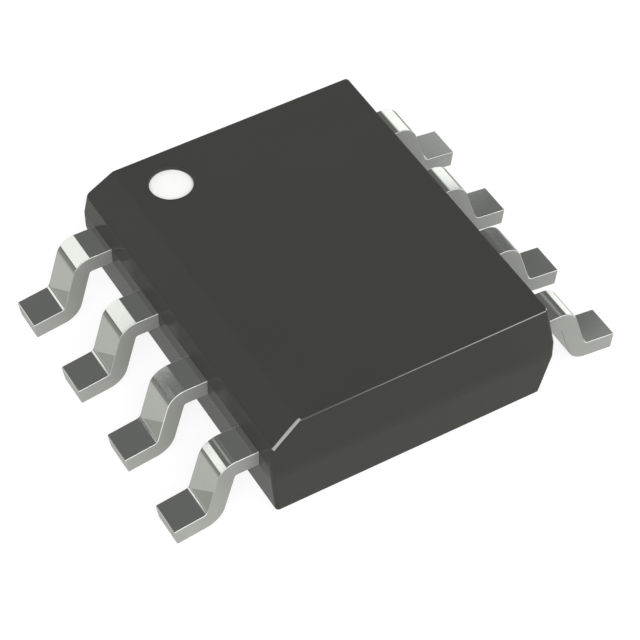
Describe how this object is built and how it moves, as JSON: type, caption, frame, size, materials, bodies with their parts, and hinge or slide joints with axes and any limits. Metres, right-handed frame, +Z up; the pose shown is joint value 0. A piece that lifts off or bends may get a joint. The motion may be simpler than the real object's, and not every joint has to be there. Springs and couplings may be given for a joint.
{
  "type": "soic chip",
  "caption": "Small-outline integrated circuit in a black moulded body with gull-wing leads on both sides, a bevelled edge and a white dot that marks the first lead.",
  "frame": {"origin": "on the board under the middle of the body: the lowest plane of the lead toes", "axes": "+X runs across the body from the row of leads 1 to 4 to the row of leads 5 to 8; +Y runs along the rows towards leads 1 and 8; +Z points up from the board"},
  "size_m": [0.0062, 0.005, 0.0016],
  "materials": {
    "mould_compound": "smooth semi-gloss black epoxy",
    "white_fill": "matte white ink",
    "tinned_lead": "bright satin tin plate on copper",
    "copper_frame": "bare rolled copper",
    "attach_film": "silver-filled epoxy",
    "silicon": "polished silicon",
    "bond_wire": "bright drawn gold wire"
  },
  "bodies": {
    "root": {"body": "mould_compound", "pin_1_mark": "white_fill", "lead_1": "tinned_lead", "lead_2": "tinned_lead", "lead_3": "tinned_lead", "lead_4": "tinned_lead", "lead_5": "tinned_lead", "lead_6": "tinned_lead", "lead_7": "tinned_lead", "lead_8": "tinned_lead", "die_pad": "copper_frame", "die_attach": "attach_film", "die": "silicon", "bond_wire_1": "bond_wire", "bond_wire_2": "bond_wire", "bond_wire_3": "bond_wire", "bond_wire_4": "bond_wire", "bond_wire_5": "bond_wire", "bond_wire_6": "bond_wire", "bond_wire_7": "bond_wire", "bond_wire_8": "bond_wire"}
  },
  "joints": []
}
